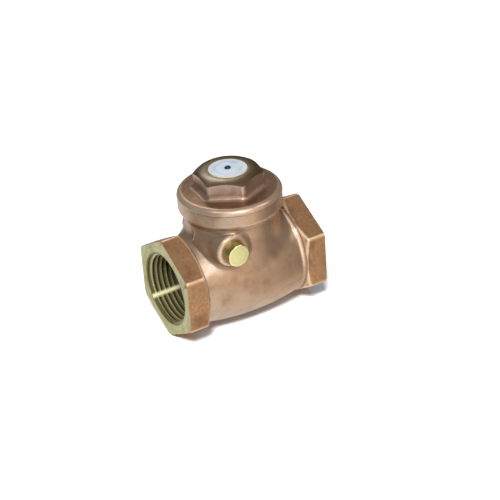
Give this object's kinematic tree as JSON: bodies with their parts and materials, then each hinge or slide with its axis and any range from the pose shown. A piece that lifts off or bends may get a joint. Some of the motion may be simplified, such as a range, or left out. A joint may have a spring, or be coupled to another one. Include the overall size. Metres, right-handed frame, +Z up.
{
  "type": "swing check valve",
  "caption": "Bronze swing check valve: hexagonal threaded pipe ends, a round belly, a screw-in hexagon cap, and inside a disc on a hinged arm that opens with the flow.",
  "frame": {"origin": "where the pipe axis meets the cap's axis", "axes": "+X along the pipe in the direction of flow, +Z up the cap's axis; the pin plug is on the -Y side"},
  "size_m": [0.0558, 0.0386, 0.0577],
  "materials": {
    "cast_bronze": "tumbled casting, warm brown bronze, with machined end faces and threads",
    "cap_bronze": "tumbled casting with a darker machined top",
    "turned_brass": "bright turned brass",
    "inner_bronze": "clean machined and cast bronze",
    "plate_metal": "pale satin plate, bare",
    "dark_pin": "dark blued pin",
    "gasket_fibre": "pressed fibre",
    "soft_disc": "white fluoropolymer"
  },
  "bodies": {
    "valve": {"body": "cast_bronze", "cap": "cap_bronze", "cap_gasket": "gasket_fibre", "id_plate": "plate_metal", "id_plate_pin": "dark_pin", "hinge_pin": "turned_brass", "pin_plug": "turned_brass"},
    "swing_arm": {"hanger": "inner_bronze"},
    "disc": {"disc_holder": "inner_bronze", "seat_disc": "soft_disc", "seat_disc_washer": "turned_brass", "seat_disc_nut": "turned_brass", "hanger_washer": "turned_brass", "hanger_nut": "turned_brass"}
  },
  "joints": [
    {"name": "swing", "type": "hinge", "parent": "valve", "child": "swing_arm", "pos_m": [-0.0094, 0, 0.0159], "axis": [0, -1, 0], "range_deg": [0, 55]},
    {"name": "disc_turn", "type": "hinge", "parent": "swing_arm", "child": "disc", "pos_m": [-0.0046, 0, 0], "axis": [1, 0, 0], "continuous": true}
  ]
}
